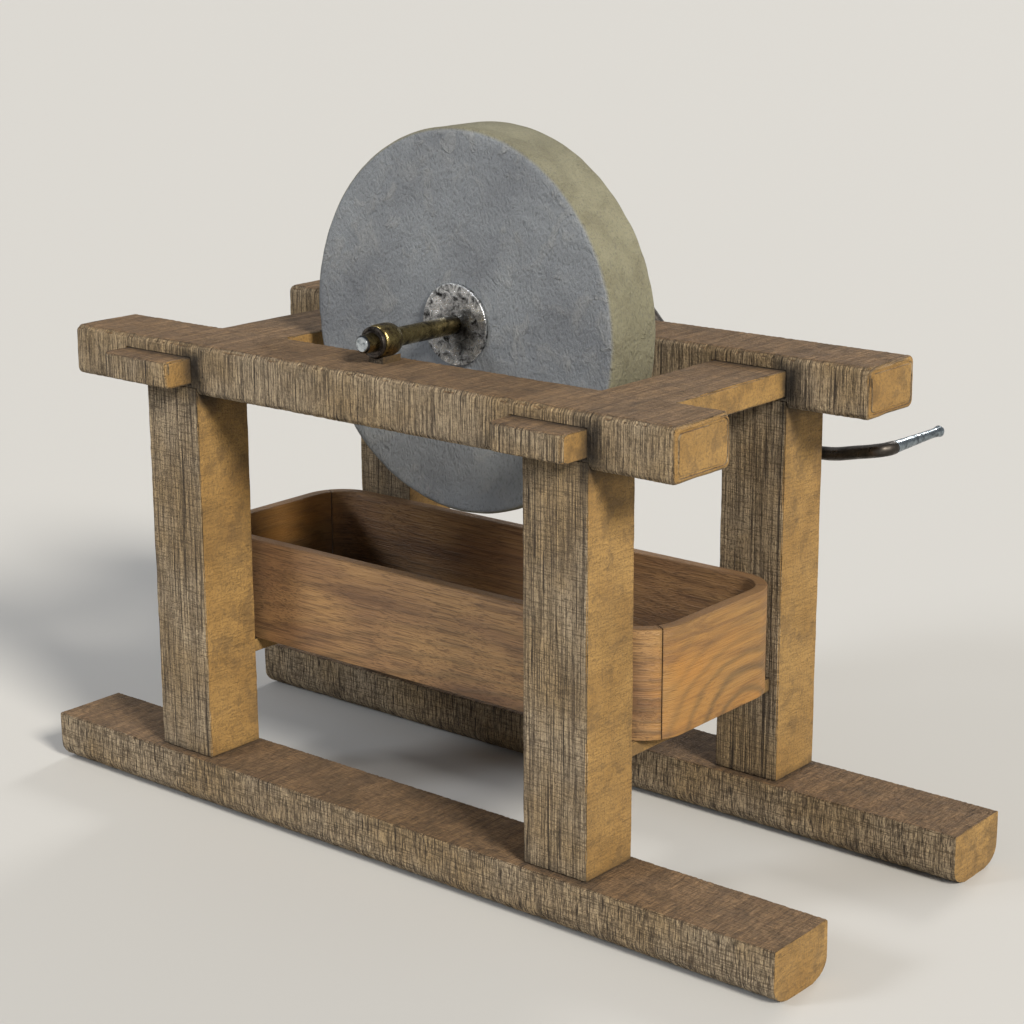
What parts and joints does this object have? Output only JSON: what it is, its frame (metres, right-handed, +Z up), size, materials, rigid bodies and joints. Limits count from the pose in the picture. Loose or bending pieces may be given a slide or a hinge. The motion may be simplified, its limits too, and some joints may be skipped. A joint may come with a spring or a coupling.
{
  "type": "hand-cranked wet grindstone",
  "caption": "Hand-cranked wet grindstone: a sandstone wheel on an iron axle in a pegged timber frame, with a swan-neck crank and a loose wooden water trough.",
  "frame": {"origin": "on the floor, at the middle of the bounding box's base", "axes": "+X along the rails and feet, +Y across the frame towards the crank side (parallel to the axle), +Z up"},
  "size_m": [1.21, 0.7774, 0.9125],
  "materials": {
    "frame_wood": "weathered rough-sawn oak",
    "wedge_wood": "split oak end grain",
    "trough_wood": "smooth planed, dulled by water",
    "sandstone": "fine pitted blue-grey sandstone",
    "dark_iron": "dark forged, polished by handling",
    "axle_iron": "oiled, bronze-tinted",
    "bronze": "dull tarnished bronze",
    "worn_steel": "worn and mottled",
    "bright_steel": "polished, scratched"
  },
  "bodies": {
    "frame": {"near_foot": "frame_wood", "far_foot": "frame_wood", "near_left_post": "frame_wood", "near_right_post": "frame_wood", "far_left_post": "frame_wood", "far_right_post": "frame_wood", "near_left_foot_wedge": "wedge_wood", "near_right_foot_wedge": "wedge_wood", "far_left_foot_wedge": "wedge_wood", "far_right_foot_wedge": "wedge_wood", "near_rail": "frame_wood", "far_rail": "frame_wood", "left_cross_beam": "frame_wood", "right_cross_beam": "frame_wood", "left_trough_bearer": "frame_wood", "right_trough_bearer": "frame_wood", "near_bearing_saddle": "frame_wood", "far_bearing_saddle": "frame_wood", "near_bearing_bush": "bronze", "far_bearing_bush": "bronze"},
    "wheel": {"stone_wheel": "sandstone", "near_flange": "worn_steel", "far_flange": "worn_steel", "axle": "axle_iron", "top_eye_wedge": "wedge_wood", "right_eye_wedge": "wedge_wood", "bottom_eye_wedge": "wedge_wood", "left_eye_wedge": "wedge_wood", "near_thrust_ring": "dark_iron", "far_thrust_ring": "dark_iron", "axle_end_cap": "bright_steel", "crank_arm": "dark_iron", "crank_nut": "dark_iron", "handle_washer": "dark_iron", "handle_rivet": "bright_steel"},
    "handle": {"handle_grip": "bright_steel"},
    "trough": {"trough_near_side": "trough_wood", "trough_far_side": "trough_wood", "trough_left_end": "trough_wood", "trough_right_end": "trough_wood", "trough_floor": "trough_wood"}
  },
  "joints": [
    {"name": "wheel_spin", "type": "hinge", "parent": "frame", "child": "wheel", "pos_m": [-0.042, -0.08875, 0.6625], "axis": [0, 1, 0], "continuous": true},
    {"name": "handle_spin", "type": "hinge", "parent": "wheel", "child": "handle", "pos_m": [0.3727, 0.32, 0.4877], "axis": [0, 1, 0], "continuous": true},
    {"name": "trough_slide", "type": "slide", "parent": "frame", "child": "trough", "axis": [1, 0, 0], "range_m": [-0.07, 0.07]}
  ]
}
